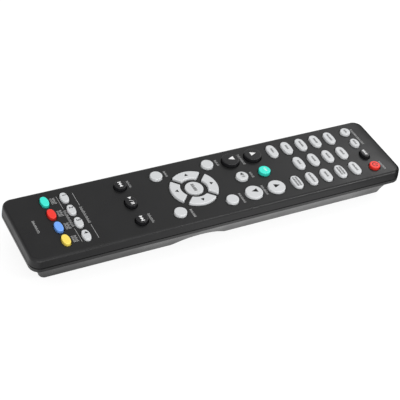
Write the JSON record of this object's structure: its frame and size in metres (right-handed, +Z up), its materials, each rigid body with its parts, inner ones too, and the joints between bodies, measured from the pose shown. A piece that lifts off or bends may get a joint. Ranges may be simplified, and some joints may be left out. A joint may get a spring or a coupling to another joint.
{
  "type": "receiver remote control",
  "caption": "Slim handheld remote control for an audio and video receiver, with a flat keypad, a finger recess underneath and a sliding battery door.",
  "frame": {"origin": "under the middle of the case, on the surface that the remote lies on", "axes": "+X along the case towards the infrared window, +Y towards the user's left, +Z up"},
  "size_m": [0.2258, 0.0498, 0.0247],
  "materials": {
    "case_top": "finely textured satin charcoal",
    "case_bottom": "satin charcoal",
    "key_grey": "smooth pale grey",
    "key_black": "smooth black",
    "key_green": "smooth green",
    "key_red": "smooth red",
    "key_blue": "smooth blue",
    "key_yellow": "smooth yellow",
    "infrared_window": "polished, very dark red",
    "rubber_mat": "plain",
    "board": "solder resist",
    "emitter_lens": "clear tinted resin",
    "chip_body": "moulded",
    "resonator_body": "dipped",
    "capacitor_can": "sleeved",
    "cell_can": "printed wrap",
    "contact_steel": "nickel plated",
    "screw_steel": "zinc plated"
  },
  "bodies": {
    "case": {"top_cover": "case_top", "bottom_cover": "case_bottom", "infrared_window": "infrared_window", "keypad_mat": "rubber_mat", "circuit_board": "board", "infrared_emitters": "emitter_lens", "controller_chip": "chip_body", "ceramic_resonator": "resonator_body", "smoothing_capacitor": "capacitor_can", "battery_cell_left": "cell_can", "battery_cell_right": "cell_can", "bridge_contact": "contact_steel", "spring_contact": "contact_steel", "plate_contact": "contact_steel", "case_screws": "screw_steel"},
    "door": {"battery_door": "case_bottom"},
    "zone_key_main": {"zone_key_main": "key_grey"},
    "zone_key_second": {"zone_key_second": "key_grey"},
    "sleep_key": {"sleep_key": "key_black"},
    "power_key": {"power_key": "key_red"},
    "channel_up_key": {"channel_up_key": "key_black"},
    "channel_down_key": {"channel_down_key": "key_black"},
    "volume_up_key": {"volume_up_key": "key_grey"},
    "volume_down_key": {"volume_down_key": "key_grey"},
    "green_mode_key": {"green_mode_key": "key_green"},
    "mute_key": {"mute_key": "key_grey"},
    "info_key": {"info_key": "key_grey"},
    "option_key": {"option_key": "key_grey"},
    "back_key": {"back_key": "key_grey"},
    "setup_key": {"setup_key": "key_grey"},
    "enter_key": {"enter_key": "key_grey"},
    "cursor_up_key": {"cursor_up_key": "key_grey"},
    "cursor_left_key": {"cursor_left_key": "key_grey"},
    "cursor_down_key": {"cursor_down_key": "key_grey"},
    "cursor_right_key": {"cursor_right_key": "key_grey"},
    "previous_key": {"previous_key": "key_black"},
    "play_key": {"play_key": "key_black"},
    "next_key": {"next_key": "key_black"},
    "green_key": {"green_key": "key_green"},
    "red_key": {"red_key": "key_red"},
    "blue_key": {"blue_key": "key_blue"},
    "yellow_key": {"yellow_key": "key_yellow"},
    "source_key_left_1": {"source_key_left_1": "key_grey"},
    "source_key_left_2": {"source_key_left_2": "key_grey"},
    "source_key_left_3": {"source_key_left_3": "key_grey"},
    "source_key_left_4": {"source_key_left_4": "key_grey"},
    "source_key_left_5": {"source_key_left_5": "key_grey"},
    "source_key_middle_1": {"source_key_middle_1": "key_grey"},
    "source_key_middle_2": {"source_key_middle_2": "key_grey"},
    "source_key_middle_3": {"source_key_middle_3": "key_grey"},
    "source_key_middle_4": {"source_key_middle_4": "key_grey"},
    "source_key_right_1": {"source_key_right_1": "key_grey"},
    "source_key_right_2": {"source_key_right_2": "key_grey"},
    "source_key_right_3": {"source_key_right_3": "key_grey"},
    "source_key_right_4": {"source_key_right_4": "key_grey"},
    "source_key_right_5": {"source_key_right_5": "key_grey"},
    "quick_key_1": {"quick_key_1": "key_grey"},
    "quick_key_2": {"quick_key_2": "key_grey"},
    "quick_key_3": {"quick_key_3": "key_grey"},
    "quick_key_4": {"quick_key_4": "key_grey"}
  },
  "joints": [
    {"name": "battery_door_slide", "type": "slide", "parent": "case", "child": "door", "axis": [-1, 0, 0], "range_m": [0, 0.056]},
    {"name": "zone_key_main_press", "type": "slide", "parent": "case", "child": "zone_key_main", "axis": [0, 0, -1], "range_m": [0, 0.001], "stiffness_N_per_m": 800, "springref_m": -0.0004},
    {"name": "zone_key_second_press", "type": "slide", "parent": "case", "child": "zone_key_second", "axis": [0, 0, -1], "range_m": [0, 0.001], "stiffness_N_per_m": 800, "springref_m": -0.0004},
    {"name": "sleep_key_press", "type": "slide", "parent": "case", "child": "sleep_key", "axis": [0, 0, -1], "range_m": [0, 0.001], "stiffness_N_per_m": 800, "springref_m": -0.0004},
    {"name": "power_key_press", "type": "slide", "parent": "case", "child": "power_key", "axis": [0, 0, -1], "range_m": [0, 0.001], "stiffness_N_per_m": 800, "springref_m": -0.0004},
    {"name": "channel_up_key_press", "type": "slide", "parent": "case", "child": "channel_up_key", "axis": [0, 0, -1], "range_m": [0, 0.001], "stiffness_N_per_m": 800, "springref_m": -0.0004},
    {"name": "channel_down_key_press", "type": "slide", "parent": "case", "child": "channel_down_key", "axis": [0, 0, -1], "range_m": [0, 0.001], "stiffness_N_per_m": 800, "springref_m": -0.0004},
    {"name": "volume_up_key_press", "type": "slide", "parent": "case", "child": "volume_up_key", "axis": [0, 0, -1], "range_m": [0, 0.001], "stiffness_N_per_m": 800, "springref_m": -0.0004},
    {"name": "volume_down_key_press", "type": "slide", "parent": "case", "child": "volume_down_key", "axis": [0, 0, -1], "range_m": [0, 0.001], "stiffness_N_per_m": 800, "springref_m": -0.0004},
    {"name": "green_mode_key_press", "type": "slide", "parent": "case", "child": "green_mode_key", "axis": [0, 0, -1], "range_m": [0, 0.001], "stiffness_N_per_m": 800, "springref_m": -0.0004},
    {"name": "mute_key_press", "type": "slide", "parent": "case", "child": "mute_key", "axis": [0, 0, -1], "range_m": [0, 0.001], "stiffness_N_per_m": 800, "springref_m": -0.0004},
    {"name": "info_key_press", "type": "slide", "parent": "case", "child": "info_key", "axis": [0, 0, -1], "range_m": [0, 0.001], "stiffness_N_per_m": 800, "springref_m": -0.0004},
    {"name": "option_key_press", "type": "slide", "parent": "case", "child": "option_key", "axis": [0, 0, -1], "range_m": [0, 0.001], "stiffness_N_per_m": 800, "springref_m": -0.0004},
    {"name": "back_key_press", "type": "slide", "parent": "case", "child": "back_key", "axis": [0, 0, -1], "range_m": [0, 0.001], "stiffness_N_per_m": 800, "springref_m": -0.0004},
    {"name": "setup_key_press", "type": "slide", "parent": "case", "child": "setup_key", "axis": [0, 0, -1], "range_m": [0, 0.001], "stiffness_N_per_m": 800, "springref_m": -0.0004},
    {"name": "enter_key_press", "type": "slide", "parent": "case", "child": "enter_key", "axis": [0, 0, -1], "range_m": [0, 0.001], "stiffness_N_per_m": 800, "springref_m": -0.0004},
    {"name": "cursor_up_key_press", "type": "slide", "parent": "case", "child": "cursor_up_key", "axis": [0, 0, -1], "range_m": [0, 0.001], "stiffness_N_per_m": 800, "springref_m": -0.0004},
    {"name": "cursor_left_key_press", "type": "slide", "parent": "case", "child": "cursor_left_key", "axis": [0, 0, -1], "range_m": [0, 0.001], "stiffness_N_per_m": 800, "springref_m": -0.0004},
    {"name": "cursor_down_key_press", "type": "slide", "parent": "case", "child": "cursor_down_key", "axis": [0, 0, -1], "range_m": [0, 0.001], "stiffness_N_per_m": 800, "springref_m": -0.0004},
    {"name": "cursor_right_key_press", "type": "slide", "parent": "case", "child": "cursor_right_key", "axis": [0, 0, -1], "range_m": [0, 0.001], "stiffness_N_per_m": 800, "springref_m": -0.0004},
    {"name": "previous_key_press", "type": "slide", "parent": "case", "child": "previous_key", "axis": [0, 0, -1], "range_m": [0, 0.001], "stiffness_N_per_m": 800, "springref_m": -0.0004},
    {"name": "play_key_press", "type": "slide", "parent": "case", "child": "play_key", "axis": [0, 0, -1], "range_m": [0, 0.001], "stiffness_N_per_m": 800, "springref_m": -0.0004},
    {"name": "next_key_press", "type": "slide", "parent": "case", "child": "next_key", "axis": [0, 0, -1], "range_m": [0, 0.001], "stiffness_N_per_m": 800, "springref_m": -0.0004},
    {"name": "green_key_press", "type": "slide", "parent": "case", "child": "green_key", "axis": [0, 0, -1], "range_m": [0, 0.001], "stiffness_N_per_m": 800, "springref_m": -0.0004},
    {"name": "red_key_press", "type": "slide", "parent": "case", "child": "red_key", "axis": [0, 0, -1], "range_m": [0, 0.001], "stiffness_N_per_m": 800, "springref_m": -0.0004},
    {"name": "blue_key_press", "type": "slide", "parent": "case", "child": "blue_key", "axis": [0, 0, -1], "range_m": [0, 0.001], "stiffness_N_per_m": 800, "springref_m": -0.0004},
    {"name": "yellow_key_press", "type": "slide", "parent": "case", "child": "yellow_key", "axis": [0, 0, -1], "range_m": [0, 0.001], "stiffness_N_per_m": 800, "springref_m": -0.0004},
    {"name": "source_key_left_1_press", "type": "slide", "parent": "case", "child": "source_key_left_1", "axis": [0, 0, -1], "range_m": [0, 0.001], "stiffness_N_per_m": 800, "springref_m": -0.0004},
    {"name": "source_key_left_2_press", "type": "slide", "parent": "case", "child": "source_key_left_2", "axis": [0, 0, -1], "range_m": [0, 0.001], "stiffness_N_per_m": 800, "springref_m": -0.0004},
    {"name": "source_key_left_3_press", "type": "slide", "parent": "case", "child": "source_key_left_3", "axis": [0, 0, -1], "range_m": [0, 0.001], "stiffness_N_per_m": 800, "springref_m": -0.0004},
    {"name": "source_key_left_4_press", "type": "slide", "parent": "case", "child": "source_key_left_4", "axis": [0, 0, -1], "range_m": [0, 0.001], "stiffness_N_per_m": 800, "springref_m": -0.0004},
    {"name": "source_key_left_5_press", "type": "slide", "parent": "case", "child": "source_key_left_5", "axis": [0, 0, -1], "range_m": [0, 0.001], "stiffness_N_per_m": 800, "springref_m": -0.0004},
    {"name": "source_key_middle_1_press", "type": "slide", "parent": "case", "child": "source_key_middle_1", "axis": [0, 0, -1], "range_m": [0, 0.001], "stiffness_N_per_m": 800, "springref_m": -0.0004},
    {"name": "source_key_middle_2_press", "type": "slide", "parent": "case", "child": "source_key_middle_2", "axis": [0, 0, -1], "range_m": [0, 0.001], "stiffness_N_per_m": 800, "springref_m": -0.0004},
    {"name": "source_key_middle_3_press", "type": "slide", "parent": "case", "child": "source_key_middle_3", "axis": [0, 0, -1], "range_m": [0, 0.001], "stiffness_N_per_m": 800, "springref_m": -0.0004},
    {"name": "source_key_middle_4_press", "type": "slide", "parent": "case", "child": "source_key_middle_4", "axis": [0, 0, -1], "range_m": [0, 0.001], "stiffness_N_per_m": 800, "springref_m": -0.0004},
    {"name": "source_key_right_1_press", "type": "slide", "parent": "case", "child": "source_key_right_1", "axis": [0, 0, -1], "range_m": [0, 0.001], "stiffness_N_per_m": 800, "springref_m": -0.0004},
    {"name": "source_key_right_2_press", "type": "slide", "parent": "case", "child": "source_key_right_2", "axis": [0, 0, -1], "range_m": [0, 0.001], "stiffness_N_per_m": 800, "springref_m": -0.0004},
    {"name": "source_key_right_3_press", "type": "slide", "parent": "case", "child": "source_key_right_3", "axis": [0, 0, -1], "range_m": [0, 0.001], "stiffness_N_per_m": 800, "springref_m": -0.0004},
    {"name": "source_key_right_4_press", "type": "slide", "parent": "case", "child": "source_key_right_4", "axis": [0, 0, -1], "range_m": [0, 0.001], "stiffness_N_per_m": 800, "springref_m": -0.0004},
    {"name": "source_key_right_5_press", "type": "slide", "parent": "case", "child": "source_key_right_5", "axis": [0, 0, -1], "range_m": [0, 0.001], "stiffness_N_per_m": 800, "springref_m": -0.0004},
    {"name": "quick_key_1_press", "type": "slide", "parent": "case", "child": "quick_key_1", "axis": [0, 0, -1], "range_m": [0, 0.001], "stiffness_N_per_m": 800, "springref_m": -0.0004},
    {"name": "quick_key_2_press", "type": "slide", "parent": "case", "child": "quick_key_2", "axis": [0, 0, -1], "range_m": [0, 0.001], "stiffness_N_per_m": 800, "springref_m": -0.0004},
    {"name": "quick_key_3_press", "type": "slide", "parent": "case", "child": "quick_key_3", "axis": [0, 0, -1], "range_m": [0, 0.001], "stiffness_N_per_m": 800, "springref_m": -0.0004},
    {"name": "quick_key_4_press", "type": "slide", "parent": "case", "child": "quick_key_4", "axis": [0, 0, -1], "range_m": [0, 0.001], "stiffness_N_per_m": 800, "springref_m": -0.0004}
  ]
}
